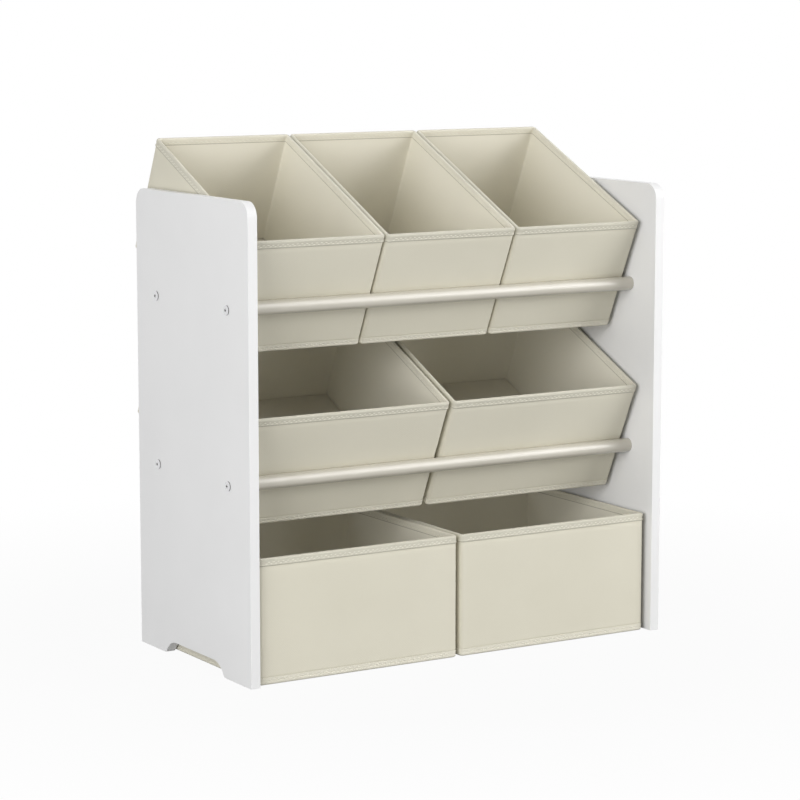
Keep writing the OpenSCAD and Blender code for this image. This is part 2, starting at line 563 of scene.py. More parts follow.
@dataclass(frozen=True)
class PressedCloth(Finish):
    """Non-woven cloth: fine pressed dimples, loose fibres and a soft unevenness."""

    dimple: float = 1.5 * MM
    dimple_depth: float = 0.09 * MM
    fibre_depth: float = 0.05 * MM
    hang_depth: float = 0.5 * MM

    def build(self) -> bpy.types.Material:
        """Make the material."""
        nodes = Nodes(self.name)
        pattern = nodes.place("UV", turn=math.radians(45))
        dots = nodes.spread(nodes.dots(pattern, self.dimple), 0.15, 0.45, 0, 1)
        where = nodes.place("Object")
        fibre = nodes.noise(where, 0.5 * MM, 4, 0.7)
        patch = nodes.noise(where, 22 * MM, 3)
        cloud = nodes.noise(where, 120 * MM)
        mixed = nodes.add("Mix", data_type="FLOAT")
        mixed.inputs["Factor"].default_value = 0.35
        nodes.link(cloud, mixed.inputs[2])
        nodes.link(fibre, mixed.inputs[3])
        nodes.tint(mixed.outputs[0], self.tone, self.deep_tone)
        nodes.gloss(fibre, 0.82, 0.95)
        nodes.relief((cloud, self.hang_depth), (patch, self.hang_depth / 4),
                     (dots, self.dimple_depth), (fibre, self.fibre_depth))
        nodes.set({"Sheen Weight": 0.12, "Sheen Roughness": 0.5, "Specular IOR Level": 0.25})
        return nodes.made


@dataclass(frozen=True)
class Thread(Finish):
    """Sewing thread, with the turns of its twist."""

    turn: float = 0.35 * MM

    def build(self) -> bpy.types.Material:
        """Make the material."""
        nodes = Nodes(self.name)
        where = nodes.place("Object")
        strand = nodes.noise(where, self.turn, 2)
        nodes.tint(strand, self.tone, self.deep_tone)
        nodes.gloss(strand, 0.55, 0.7)
        nodes.relief((strand, 0.06 * MM))
        nodes.set({"Sheen Weight": 0.1, "Specular IOR Level": 0.4})
        return nodes.made


@dataclass(frozen=True)
class GreyBoard(Finish):
    """Pressed paper board, with its flecks."""

    def build(self) -> bpy.types.Material:
        """Make the material."""
        nodes = Nodes(self.name)
        where = nodes.place("Object")
        fleck = nodes.noise(where, 1.2 * MM, 5, 0.8)
        nodes.tint(fleck, self.tone, self.deep_tone)
        nodes.gloss(fleck, 0.8, 0.92)
        nodes.relief((fleck, 0.06 * MM))
        return nodes.made


@dataclass(frozen=True)
class PlatedSteel(Finish):
    """Bright plated steel, with fine turning marks."""

    def build(self) -> bpy.types.Material:
        """Make the material."""
        nodes = Nodes(self.name)
        where = nodes.place("Object")
        marks = nodes.noise(where, 0.6 * MM, 3)
        nodes.tint(marks, self.tone, self.deep_tone, reach=0.2)
        nodes.gloss(marks, 0.16, 0.28)
        nodes.relief((marks, 0.008 * MM))
        nodes.set({"Metallic": 1.0})
        return nodes.made


WHITE_BOARD = Laminate("white_laminate", "panel_board", (0.84, 0.84, 0.84), (0.825, 0.825, 0.825))
CREAM_PAINT = SatinPaint("cream_satin_paint", "rod_paint", (0.560, 0.530, 0.455), (0.540, 0.510, 0.435))
CREAM_CLOTH = PressedCloth(
    "cream_pressed_cloth", "bin_fabric", (0.725, 0.695, 0.580), (0.695, 0.665, 0.550)
)
# Painted light: the lining is the same cloth as the cover, toned lighter to stand for the light that
# falls into the bins.
LINING_PAINTED_LIGHT = PressedCloth(
    "lining_cloth_painted_light", "bin_fabric", (0.815, 0.785, 0.680), (0.790, 0.760, 0.655)
)
CREAM_TAPE = PressedCloth(
    "cream_binding_tape", "rim_tape", (0.655, 0.630, 0.530), (0.630, 0.605, 0.505),
    dimple=0.8 * MM, dimple_depth=0.06 * MM, hang_depth=0.15 * MM,
)
# Painted light: the same tape as the rim's outside, toned lighter for its inner face to stand for the
# light inside the bins.
INNER_TAPE_PAINTED_LIGHT = PressedCloth(
    "inner_binding_tape_painted_light", "rim_tape", (0.770, 0.740, 0.635), (0.745, 0.715, 0.610),
    dimple=0.8 * MM, dimple_depth=0.06 * MM, hang_depth=0.15 * MM,
)
# Painted shade: a much darker tone for the lowest 0.7 mm of the rim tape, standing for the shadow line
# under the tape's loose edge.
TAPE_EDGE_PAINTED_SHADE = PressedCloth(
    "tape_edge_painted_shade", "rim_tape", (0.460, 0.440, 0.365), (0.440, 0.420, 0.345)
)
# Painted light: the hem is the same tape as the rim's, toned lighter to stand for light from the floor
# on the bins' bottoms.
HEM_PAINTED_FLOOR_LIGHT = PressedCloth(
    "hem_cloth_painted_floor_light", "bin_fabric", (0.775, 0.745, 0.635), (0.750, 0.720, 0.610),
    dimple=0.8 * MM, dimple_depth=0.06 * MM, hang_depth=0.15 * MM,
)
BASE_CLOTH = PressedCloth(
    "cream_base_cloth", "base_cloth", (0.755, 0.720, 0.625), (0.720, 0.685, 0.590)
)
CREAM_THREAD = Thread("cream_thread", "rim_tape", (0.80, 0.78, 0.68), (0.73, 0.71, 0.61))
WALL_BOARD = GreyBoard("grey_wall_board", "stiff_board", (0.46, 0.40, 0.31), (0.36, 0.31, 0.24))
SCREW_STEEL = PlatedSteel("plated_screw_steel", "screw_steel", (0.74, 0.74, 0.75), (0.64, 0.64, 0.65))
# Painted shade: near-black steel that stands for the shade in the screw's recess and the dark arcs at
# its head's rim.
SCREW_STEEL_PAINTED_SHADE = PlatedSteel("screw_steel_painted_shade", "screw_steel", (0.10, 0.10, 0.10), (0.06, 0.06, 0.06))


def hand_over(piece: Blank, body: str, finish: Finish, *nodes: str) -> None:
    """Dress a piece that has no finish yet, and let it ride on its body.

    Args:
        piece: The finished piece.
        body: The body that carries it.
        finish: Its finish.
        *nodes: The CAD nodes that it stands for.
    """
    if not piece.obj.data.materials:
        piece.finish(finish)
    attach(piece.obj, body)
    if nodes:
        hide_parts(*nodes)
    LOG.info("%s: %d faces on %s", piece.obj.name, len(piece.obj.data.polygons), body)


@dataclass
class SidePanel:
    """A side panel: a board with two rounded top corners and an arch between its feet."""

    side: Side
    top_radius: float = 20 * MM
    arch_height: float = 17.5 * MM
    arch_width: float = 164 * MM
    hollow_radius: float = 28 * MM
    toe_radius: float = 8 * MM
    toe_cut: float = 0.5 * MM
    hole_radius: float = 2.7 * MM
    edge_radius: float = 1.0 * MM

    @property
    def node(self) -> str:
        """The panel's CAD node."""
        return f"{self.side.label}_side_panel"

    def build(self) -> None:
        """Shape the board, arch it, drill it and dress it."""
        low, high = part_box(self.node)
        board = Blank.block(self.node + "_board", low + Vector((0, 0, self.arch_height)), high)
        self.shape_arch(board, (low.y + high.y) / 2)
        self.round_top(board, low.y, high)
        board.cut_with(self.drill(low.x, high.x))
        board.ease(self.edge_radius)
        board.smooth()
        hand_over(board, "frame", WHITE_BOARD, self.node)

    def shape_arch(self, board: Blank, middle: float) -> None:
        """Draw the two feet down and round the arch between them.

        Args:
            board: The board, which ends at the arch's top so far.
            middle: Middle of the arch on Y.
        """
        toe_z = self.toe_radius - self.toe_cut
        toe_y = self.arch_width / 2 + math.sqrt(self.toe_radius**2 - toe_z**2)
        rise = toe_z - (self.arch_height - self.hollow_radius)
        slope = math.acos(rise / (self.hollow_radius + self.toe_radius))
        toe_offset = self.toe_radius * math.tan(slope / 2)
        hollow_offset = self.hollow_radius * math.tan(slope / 2)
        foot = self.arch_height + self.toe_cut
        flare = foot / math.tan(slope)
        corner = toe_y - toe_offset - flare
        with board.editing():
            board.slice(1, (middle - corner, middle + corner))
            board.pick_faces(lambda at, normal: normal.z < -0.5 and abs(at.y - middle) > corner)
            bpy.ops.mesh.extrude_region_move(TRANSFORM_OT_translate={"value": (0, 0, -foot)})
            for way in (-1, 1):
                board.pick_points(lambda at: at.z < 0 and abs(at.y - middle - way * corner) < MM)
                bpy.ops.transform.translate(value=(0, way * flare, 0))
            board.pick_edges(lambda a, b: self.crosses(a, b, middle, corner))
            board.round_edges(hollow_offset, 10)
            board.pick_edges(lambda a, b: self.crosses(a, b, middle, corner + flare))
            board.round_edges(toe_offset, 6)
            bpy.ops.mesh.select_all(action="SELECT")
            bpy.ops.mesh.bisect(
                plane_co=(0, 0, 0), plane_no=(0, 0, 1), use_fill=True, clear_inner=True
            )

    def crosses(self, a: Vector, b: Vector, middle: float, reach: float) -> bool:
        """Tell an edge that runs through the board's thickness at a distance from the middle.

        Args:
            a: One end of the edge.
            b: Its other end.
            middle: Middle of the arch on Y.
            reach: Distance from the middle.

        Returns:
            Whether the edge is such a one.
        """
        near = abs(abs(a.y - middle) - reach) < 0.1 * MM
        return near and (a - b).length > 1.0 * MM and abs(a.x - b.x) > 0.99 * (a - b).length

    def round_top(self, board: Blank, back: float, high: Vector) -> None:
        """Round the two top corners.

        Args:
            board: The board.
            back: Lowest place of the board on Y.
            high: Highest corner of the board.
        """
        near = 0.1 * MM
        with board.editing():
            board.pick_edges(
                lambda a, b: min(a.z, b.z) > high.z - near
                and (max(a.y, b.y) < back + near or min(a.y, b.y) > high.y - near)
            )
            board.round_edges(self.top_radius, 14)

    def drill(self, near: float, far: float) -> Blank:
        """The drills that bore one hole for each rod.

        Args:
            near: One face of the board on X.
            far: Its other face.

        Returns:
            The drills, joined.
        """
        drills = []
        for rod in Rod.NAMES:
            low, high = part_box(rod)
            drill = Blank.bar("drill", self.hole_radius, far - near + 4 * MM, 24)
            place = (near - 2 * MM, (low.y + high.y) / 2, (low.z + high.z) / 2)
            drill.turn_and_place(Euler((0, math.pi / 2, 0)), place)
            drills.append(drill)
        drills[0].absorb(drills[1:])
        return drills[0]


@dataclass
class Rod:
    """A round rod between the panels, with a pilot bore in each end."""

    node: str
    bore_radius: float = 2.45 * MM
    bore_length: float = 40 * MM
    edge_radius: float = 0.6 * MM
    sides: int = 72
    NAMES = ("top_front_rod", "top_rear_rod", "middle_front_rod", "middle_rear_rod")

    def build(self) -> None:
        """Turn the rod, bore its ends and dress it."""
        low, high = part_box(self.node)
        radius = (high.z - low.z) / 2
        rod = Blank.bar(self.node + "_dowel", radius, high.x - low.x, self.sides)
        with rod.editing():
            for way in (-1, 1):
                rod.pick_faces(lambda at, normal: normal.z * way > 0.9)
                bpy.ops.mesh.inset(thickness=radius - self.bore_radius)
                bpy.ops.mesh.extrude_region_move(
                    TRANSFORM_OT_translate={"value": (0, 0, -way * self.bore_length)}
                )
        rod.ease(self.edge_radius, 2)
        centre = (low + high) / 2
        rod.turn_and_place(Euler((0, math.pi / 2, 0)), (low.x, centre.y, centre.z))
        rod.smooth()
        hand_over(rod, "frame", CREAM_PAINT, self.node)


@dataclass
class RodScrews:
    """The four screws that go through one side panel into the rods."""

    side: Side
    head_radius: float = 6.25 * MM
    head_height: float = 2.2 * MM
    rim_height: float = 0.9 * MM
    shank_radius: float = 2.4 * MM
    shank_length: float = 45 * MM
    point_length: float = 5 * MM
    recess_length: float = 5.6 * MM
    recess_width: float = 1.3 * MM
    recess_depth: float = 1.7 * MM
    recess_cone: float = 1.8 * MM
    sides: int = 48
    turns: tuple[float, ...] = (12, 51, 78, 33)

    def build(self) -> None:
        """Make one screw, set a copy in each rod's end and dress the four."""
        pattern = self.screw()
        way = self.side.value
        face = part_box(f"{self.side.label}_side_panel")[0 if way < 0 else 1].x
        screws = []
        for rod, turn in zip(Rod.NAMES, self.turns):
            low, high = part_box(rod)
            screw = pattern.twin("screw")
            screw.turn_and_place(Euler((0, 0, math.radians(turn))), (0, 0, 0))
            place = (face, (low.y + high.y) / 2, (low.z + high.z) / 2)
            screw.turn_and_place(Euler((0, -way * math.pi / 2, 0)), place)
            screws.append(screw)
        bpy.data.objects.remove(pattern.obj)
        screws[0].absorb(screws[1:])
        screws[0].obj.name = f"{self.side.label}_dome_screws"
        hand_over(screws[0], "frame", SCREW_STEEL, f"{self.side.label}_rod_screws")

    def screw(self) -> Blank:
        """One screw along +Z, with the flat underside of its head at z = 0.

        Returns:
            The screw.
        """
        screw = Blank.bar("screw_pattern", self.head_radius, self.rim_height, self.sides)
        dome = self.head_height - self.rim_height
        ball = (self.head_radius**2 + dome**2) / (2 * dome)
        rings = 9
        with screw.editing():
            bpy.ops.mesh.select_all(action="SELECT")
            bpy.ops.transform.translate(value=(0, 0, -self.rim_height))
            screw.pick_faces(lambda at, normal: normal.z < -0.9)
            height = 0.0
            for i in range(1, rings):
                radius = self.head_radius * (1 - i / rings)
                lift = math.sqrt(ball**2 - radius**2) - (ball - dome)
                bpy.ops.mesh.inset(thickness=self.head_radius / rings)
                bpy.ops.transform.translate(value=(0, 0, height - lift))
                height = lift
            screw.pick_faces(lambda at, normal: normal.z > 0.9)
            bpy.ops.mesh.inset(thickness=self.head_radius - self.shank_radius)
            bpy.ops.mesh.extrude_region_move(
                TRANSFORM_OT_translate={"value": (0, 0, self.shank_length)}
            )
            bpy.ops.mesh.extrude_region_move(
                TRANSFORM_OT_translate={"value": (0, 0, self.point_length)}
            )
            tip = (0, 0, self.shank_length + self.point_length)
            bpy.ops.transform.resize(value=(0.125, 0.125, 1), center_override=tip)
        screw.cut_with(self.driver())
        screw.ease(0.12 * MM, 2)
        screw.smooth()
        screw.finish(SCREW_STEEL)
        reach = self.recess_length / 2 + 0.2 * MM
        skin = ball - 0.12 * MM
        middle = ball - self.head_height
        # Painted shade: the side of the head's rim and the cross recess get the near-black steel,
        # standing for shade and dark reflections there.
        screw.touch_up(SCREW_STEEL_PAINTED_SHADE, lambda at, normal: at.z < -0.1 * MM and abs(normal.z) < 0.4
                       and at.xy.length > 0.97 * self.head_radius)
        screw.touch_up(SCREW_STEEL_PAINTED_SHADE, lambda at, normal: at.z < -0.1 * MM and at.xy.length < reach
                       and (at - Vector((0, 0, middle))).length < skin)
        return screw

    def driver(self) -> Blank:
        """The cross-shaped driver that leaves the recess.

        Returns:
            The driver's two blades and its point, joined.
        """
        blades = []
        top = -self.head_height - 1 * MM
        floor = self.recess_depth - self.head_height
        for turn in (0, 90):
            half = Vector((self.recess_length / 2, self.recess_width / 2, 0))
            blade = Blank.block("blade", (-half.x, -half.y, top), (half.x, half.y, floor))
            with blade.editing():
                blade.pick_faces(lambda at, normal: normal.z > 0.9)
                bpy.ops.transform.resize(value=(0.45, 0.7, 1), center_override=(0, 0, floor))
            blade.turn_and_place(Euler((0, 0, math.radians(turn))), (0, 0, 0))
            blades.append(blade)
        point = Blank.bar("point", self.recess_cone, self.recess_depth + 1.4 * MM, 16)
        point.turn_and_place(Euler((0, 0, 0)), (0, 0, top))
        with point.editing():
            point.pick_faces(lambda at, normal: normal.z > 0.9)
            tip = (0, 0, floor + 0.4 * MM)
            bpy.ops.transform.resize(value=(0.35, 0.35, 1), center_override=tip)
        for other in (blades[1], point):
            blades[0].modify("BOOLEAN", operation="UNION", solver="EXACT", object=other.obj)
            bpy.data.objects.remove(other.obj)
        return blades[0]


@dataclass
class BinPattern:
    """The cut of one width of bin, sewn level: its middle at x = 0, the face of its front
    wall at y = 0 and the underside of its hem at z = 0."""

    width: float
    depth: float = 273.8 * MM
    height: float = 160 * MM
    corner: float = 5 * MM
    fold: float = 2.6 * MM
    cloth: float = 0.6 * MM
    wall: float = 3.0 * MM
    tape: float = 0.6 * MM
    band: float = 9.5 * MM
    base_thickness: float = 2.4 * MM
    base_play: float = 0.8 * MM
    base_corner: float = 3 * MM
    sag: float = 0.22 * MM
    sag_size: float = 55 * MM
    lining_sag: float = 0.8 * MM
    lining_sag_size: float = 70 * MM
    flat_foot: float = 8 * MM
    stitch_pitch: float = 6.8 * MM
    stitch_length: float = 4.4 * MM
    stitch_slant: float = math.radians(9)
    stitch_rise: float = 2.1 * MM
    stitch_margin: float = 7 * MM
    thread: float = 1.15 * MM
    crease: float = 0.55 * MM
    crease_cuts: tuple[float, ...] = (-1.0 * MM, 0.15 * MM, 1.2 * MM)
    lip_height: float = 0.7 * MM
    lip_flare: float = 0.2 * MM
    lip_gather: float = 0.35 * MM
    tape_fold: float = 2.3 * MM
    tape_inner_fold: float = 1.3 * MM
    tape_pinch: float = 0.28 * MM
    tape_inner_pinch: float = 0.2 * MM
    tape_ripple: float = 0.2 * MM
    tape_ripple_size: float = 5 * MM

    @property
    def body(self) -> float:
        """Width over the outer faces of the side walls."""
        return self.width - 2 * self.tape

    def tray(self, name: str, inset: float, low: float, high: float, corner: float,
             bottom: float, pitch: float = 9 * MM) -> Blank:
        """A box with an open top and rounded corners, as thin as a sheet.

        Args:
            name: Name of the piece.
            inset: How far it lies inside the faces of the walls.
            low: Height of its bottom.
            high: Height of its open edge.
            corner: Radius of its upright corners.
            bottom: Radius of its bottom edges.
            pitch: Largest length of its faces.

        Returns:
            The tray.
        """
        half = self.body / 2 - inset
        tray = Blank.block(name, (-half, inset, low), (half, self.depth - inset, high))
        with tray.editing():
            tray.pick_faces(lambda at, normal: normal.z > 0.9)
            bpy.ops.mesh.delete(type="ONLY_FACE")
            tray.pick_edges(lambda a, b: abs(a.z - b.z) > MM)
            tray.round_edges(corner, 6)
            tray.pick_edges(lambda a, b: max(a.z, b.z) < low + 0.1 * MM)
            tray.round_edges(bottom, 5)
            for axis in range(3):
                tray.divide(axis, pitch)
        return tray

    def soften(self, piece: Blank, depth: float, size: float, above: float = 0.0) -> None:
        """Let cloth swell a little away from the board behind it.

        Args:
            piece: The cloth.
            depth: Most that it swells along its normals.
            size: Size of the swells.
            above: Height below which it lies flat.
        """
        texture = bpy.data.textures.new("cloth_swell", "CLOUDS")
        texture.noise_scale = size
        texture.noise_depth = 1
        free = piece.obj.vertex_groups.new(name="free")
        free.add([point.index for point in piece.obj.data.vertices if point.co.z > above],
                 1.0, "REPLACE")
        piece.modify("DISPLACE", texture=texture, texture_coords="LOCAL", mid_level=0.0,
                     strength=depth, vertex_group="free")

    @property
    def cloth_top(self) -> float:
        """Height of the cloth's raw edges, which the rim's tape hides."""
        return self.height - self.tape - 0.4 * MM

    def cover(self) -> Blank:
        """The outer cloth, in front of the wall boards.

        Returns:
            The cover.
        """
        cover = self.tray("cover", 0.0, self.tape, self.cloth_top, self.corner, self.fold)
        edges = (self.band, self.height - self.band)
        with cover.editing():
            for edge, way in zip(edges, (1, -1)):
                cover.slice(2, [edge + way * away for away in self.crease_cuts])
        self.soften(cover, self.sag, self.sag_size, above=self.flat_foot)
        with cover.editing():
            for edge, way in zip(edges, (1, -1)):
                for away in self.crease_cuts[1::-1]:
                    self.draw_in(cover, edge + way * away, self.crease)
        cover.modify("SOLIDIFY", thickness=self.cloth, offset=-1.0, use_even_offset=True)
        cover.smooth(weighted=False)
        cover.unwrap()
        return cover

    def lining(self) -> Blank:
        """The inner cloth, behind the wall boards.

        Returns:
            The lining.
        """
        lining = self.tray("lining", self.wall, self.tape + 2 * self.cloth, self.cloth_top,
                           self.corner - self.wall, 0.9 * MM)
        with lining.editing():
            bpy.ops.mesh.select_all(action="SELECT")
            bpy.ops.mesh.flip_normals()
        self.soften(lining, self.lining_sag, self.lining_sag_size, above=self.flat_foot)
        lining.modify("SOLIDIFY", thickness=self.cloth, offset=-1.0, use_even_offset=True)
        lining.smooth(weighted=False)
        lining.unwrap()
        return lining

    def ring(self, name: str, low: float, high: float, outset: float, wall: float) -> Blank:
        """A closed band round the bin, as a solid frame.

        Args:
            name: Name of the piece.
            low: Height of its lower edge.
            high: Height of its upper edge.
            outset: How far it stands out from the faces of the walls.
            wall: Its thickness.

        Returns:
            The band.
        """
        half = self.body / 2 + outset
        ring = Blank.block(name, (-half, -outset, low), (half, self.depth + outset, high))
        with ring.editing():
            ring.pick_faces(lambda at, normal: abs(normal.z) > 0.9)
            bpy.ops.mesh.delete(type="ONLY_FACE")
            ring.pick_edges(lambda a, b: abs(a.z - b.z) > MM)
            ring.round_edges(self.corner + outset, 8)
        ring.modify("SOLIDIFY", thickness=wall, offset=-1.0, use_even_offset=True)
        return ring

    def rim_tape(self) -> Blank:
        """Tape folded over the rim, drawn in along its seams and gathered at the corners.

        Returns:
            The tape.
        """
        low = self.height - self.band
        tape = self.ring("tape", low, self.height, self.tape, self.wall + 2 * self.tape)
        lip = low + self.lip_height
        channel = self.height - self.tape
        with tape.editing():
            tape.pick_faces(lambda at, normal: normal.z < -0.9)
            bpy.ops.mesh.inset(thickness=self.tape)
            bpy.ops.mesh.extrude_region_move(
                TRANSFORM_OT_translate={"value": (0, 0, self.band - self.tape)}
            )
            tape.pick_edges(lambda a, b: abs(a.z - channel) + abs(b.z - channel) < 0.1 * MM)
            tape.round_edges(0.9 * MM, 3)
            for outside, radius in ((True, self.tape_fold), (False, self.tape_inner_fold)):
                tape.pick_edges(lambda a, b: min(a.z, b.z) > self.height - NEAR
                                and self.is_outside(a) == self.is_outside(b) == outside)
                tape.round_edges(radius, 6)
            for axis in range(2):
                tape.divide(axis, 2.2 * MM)
            half = self.stitch_rise / 2
            heights = [self.rim_seam + way * half for way in (-1, 1)]
            tape.slice(2, (lip, heights[0], self.rim_seam, heights[1], self.height - 3.6 * MM))
            for height in heights + [self.rim_seam]:
                self.draw_in(tape, height, self.tape_pinch, self.tape_inner_pinch)
            self.stand_off(tape, low, lip, self.lip_flare, self.is_outside)
            self.stand_off(tape, low, lip, self.lip_gather, self.in_corner)
        self.soften(tape, self.tape_ripple, self.tape_ripple_size)
        tape.smooth(weighted=False)
        tape.unwrap()
        tape.finish(CREAM_TAPE)
        # Painted light: the tape's inner faces get the lighter tone.
        tape.touch_up(INNER_TAPE_PAINTED_LIGHT, lambda at, normal: self.is_inside(at, 1.3 * MM))
        # Painted shadow: the faces below the lip get the darker tone, standing for the shade under the
        # tape's edge.
        tape.touch_up(TAPE_EDGE_PAINTED_SHADE, lambda at, normal: at.z < lip)
        return tape

    @property
    def rim_seam(self) -> float:
        """Height of the middle of the seam that holds the rim's tape."""
        return self.height - 0.66 * self.band

    @property
    def hem_seam(self) -> float:
        """Height of the hem's seam."""
        return 0.55 * self.band

    def is_outside(self, at: Vector) -> bool:
        """Tell a place at or outside the faces of the walls from one inside them."""
        middle = self.depth / 2
        return (abs(at.x) > self.body / 2 - 0.01 * MM or abs(at.y - middle) > middle - 0.01 * MM
                or self.in_corner(at))

    def in_corner(self, at: Vector) -> bool:
        """Tell a place at or outside the rounding of an upright corner."""
        middle = self.depth / 2
        radius = self.corner
        run = Vector((abs(at.x) - self.body / 2 + radius, abs(at.y - middle) - middle + radius))
        return run.x > 0 and run.y > 0 and run.length > radius - 0.01 * MM

    def is_inside(self, at: Vector, into: float = 0.01 * MM) -> bool:
        """Tell a place at or inside the inner faces of the walls.

        Args:
            at: The place.
            into: How far into the wall a place still counts.

        Returns:
            True for such a place.
        """
        middle = self.depth / 2
        reach = self.wall - into
        return abs(at.x) < self.body / 2 - reach and abs(at.y - middle) < middle - reach

    def draw_in(self, piece: Blank, height: float, by: float, inside: float = 0.0) -> None:
        """Draw a band's faces in along its seam, in edit mode.

        Args:
            piece: The band.
            height: Height of the seam.
            by: How far the thread draws its outer face in.
            inside: How far it draws its inner face in.
        """
        for test, depth in ((self.is_outside, by), (self.is_inside, inside)):
            piece.pick_points(lambda at: abs(at.z - height) < NEAR and test(at))
            bpy.ops.transform.shrink_fatten(value=-depth)

    def stand_off(self, piece: Blank, low: float, lip: float, by: float,
                  test: Callable[[Vector], bool]) -> None:
        """Let part of a band's loose edge stand off the wall, in edit mode.

        Args:
            piece: The band.
            low: Height of the loose edge.
            lip: Height up to which it stands off.
            by: How far it stands off.
            test: Tells the places that do.
        """
        piece.pick_points(lambda at: low - NEAR < at.z < lip + NEAR and test(at))
        bpy.ops.transform.shrink_fatten(value=by)

    def hem(self) -> Blank:
        """Hem folded round the bottom edge, stitched along its middle.

        Returns:
            The hem.
        """
        hem = self.tray("hem", -self.tape, 0.0, self.band, self.corner + self.tape,
                        self.fold + self.tape, 4 * MM)
        seam = self.hem_seam
        reach = self.body / 2 - self.band
        with hem.editing():
            hem.slice(0, (-reach, reach))
            hem.slice(1, (self.band, self.depth - self.band))
            hem.pick_faces(lambda at, normal: at.z < 0.1 * MM and abs(at.x) < reach
                           and self.band < at.y < self.depth - self.band)
            bpy.ops.mesh.delete(type="FACE")
            low, high = seam - self.stitch_rise / 2, seam + self.stitch_rise / 2
            hem.slice(2, (low, seam, high, self.band - 1.0 * MM))
            for height, depth in ((low, 0.3 * MM), (seam, 0.4 * MM), (high, 0.1 * MM)):
                self.draw_in(hem, height, depth)
        hem.modify("SOLIDIFY", thickness=self.tape, offset=-1.0, use_even_offset=True)
        hem.smooth(weighted=False)
        hem.unwrap()
        return hem

    def base(self) -> Blank:
        """The loose board on the floor of the bin, covered with cloth.

        Returns:
            The board.
        """
        inset = self.wall + self.base_play
        half = self.body / 2 - inset
        low = self.tape + 2 * self.cloth
        base = Blank.block("base", (-half, inset, low),
                           (half, self.depth - inset, low + self.base_thickness))
        with base.editing():
            base.pick_edges(lambda a, b: abs(a.z - b.z) > MM)
            base.round_edges(self.base_corner, 6)
        base.ease(0.7 * MM, 3)
        with base.editing():
            for axis in range(2):
                base.divide(axis, 12 * MM)
        base.smooth()
        base.unwrap()
        return base

    def stitches(self) -> Blank:
        """The twin seams of the rim, outside and inside, and of the hem.

        Returns:
            All the stitches of the bin.
        """
        rows = self.seam_round(self.hem_seam, self.tape)
        rows += self.seam_round(self.rim_seam, self.tape)
        rows += self.seam_round(self.rim_seam, -self.wall - self.tape)
        rows[0].absorb(rows[1:])
        rows[0].smooth(weighted=False)
        return rows[0]

    def seam_round(self, height: float, outset: float) -> list[Blank]:
        """One seam on the four straight sides of the bin.

        Args:
            height: Height of the middle of the seam.
            outset: How far the tape's face lies outside the faces of the walls.

        Returns:
            The four rows.
        """
        middle = self.depth / 2
        rows = []
        for turn in (0, 90, 180, 270):
            across, along = (self.body / 2, middle) if turn % 180 else (middle, self.body / 2)
            row = self.twin_row(along - self.stitch_margin)
            row.turn_and_place(Euler((0, 0, 0)), (0, -across - outset, height))
            row.turn_and_place(Euler((0, 0, math.radians(turn))), (0, middle, 0))
            rows.append(row)
        return rows

    def twin_row(self, reach: float) -> Blank:
        """Two rows of stitches along X, the lower half a step behind the upper.

        Args:
            reach: Half the length of the rows.

        Returns:
            The rows, on the plane y = 0.
        """
        count = int(reach / self.stitch_pitch)
        pair = self.stitch(1)
        pair.absorb([self.stitch(-1)])
        pair.turn_and_place(Euler((0, 0, 0)), (-(count - 0.5) * self.stitch_pitch, 0, 0))
        pair.modify("ARRAY", count=2 * count, use_relative_offset=False,
                    use_constant_offset=True,
                    constant_offset_displace=(self.stitch_pitch, 0, 0))
        return pair

    def stitch(self, way: int) -> Blank:
        """One stitch, its ends drawn down through the cloth.

        Args:
            way: 1 for the upper row, -1 for the lower one.

        Returns:
            The stitch, beside x = 0 on the plane y = 0.
        """
        half = self.stitch_length / 2
        thread = Blank.ball("stitch", (2 * half, self.thread, self.thread), (0, 0, 0))
        with thread.editing():
            for end in (-1, 1):
                thread.pick_points(lambda at: at.x * end > 0.6 * half)
                bpy.ops.transform.translate(value=(0, self.thread / 4, 0))
                thread.pick_points(lambda at: at.x * end > 0.9 * half)
                bpy.ops.transform.translate(value=(0, self.thread / 2, 0))
        thread.turn_and_place(Euler((0, -self.stitch_slant, 0)),
                              (way * self.stitch_pitch / 4, 0, way * self.stitch_rise / 2))
        return thread


@dataclass
class Bin:
    """One bin of the shelf, set on its rods or on the floor."""

    name: str
    stance: Stance
    tilt: float = math.radians(25)
    seat_gap: float = 0.3 * MM

    @property
    def width(self) -> float:
        """Width over the rim."""
        low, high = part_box(self.name + "_rim_tape")
        return high.x - low.x

    def seat(self, pattern: BinPattern) -> tuple[Euler, Vector]:
        """Where the bin goes.

        Args:
            pattern: The bin's cut.

        Returns:
            Its turn, and the place of its origin.
        """
        low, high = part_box(self.name + "_fabric")
        middle = (low.x + high.x) / 2
        if self.stance is Stance.FLOOR:
            return Euler((0, 0, 0)), Vector((middle, low.y + pattern.tape, 0))
        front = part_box(self.stance.value + "_front_rod")
        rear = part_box(self.stance.value + "_rear_rod")
        axis_front, axis_rear = (front[0] + front[1]) / 2, (rear[0] + rear[1]) / 2
        reach = (axis_rear.y - axis_front.y) / 2
        touch = (front[1].z - front[0].z) / 2 + self.seat_gap
        along = touch - reach * math.cos(self.tilt)
        up = touch - reach * math.sin(self.tilt)
        turn = Euler((self.tilt, 0, 0))
        origin = Vector((0, along, up))
        origin.rotate(turn)
        return turn, origin + Vector((middle, axis_front.y + reach, axis_front.z))

    def build(self, pattern: BinPattern, parts: dict[str, tuple[Blank, Finish]]) -> None:
        """Set copies of the sewn pieces in place and dress them.

        Args:
            pattern: The bin's cut.
            parts: The sewn pieces, each with its finish, by the name of the piece.
        """
        turn, place = self.seat(pattern)
        stands_for = {"cover": "_fabric", "folded_tape": "_rim_tape", "base": "_base_board"}
        for label, (part, finish) in parts.items():
            piece = part.twin(f"{self.name}_{label}")
            piece.turn_and_place(turn, place)
            nodes = [self.name + stands_for[label]] if label in stands_for else []
            hand_over(piece, self.name, finish, *nodes)
        boards = bpy.data.objects[self.name + "_wall_boards"]
        boards.data.materials.clear()
        boards.data.materials.append(WALL_BOARD.material())


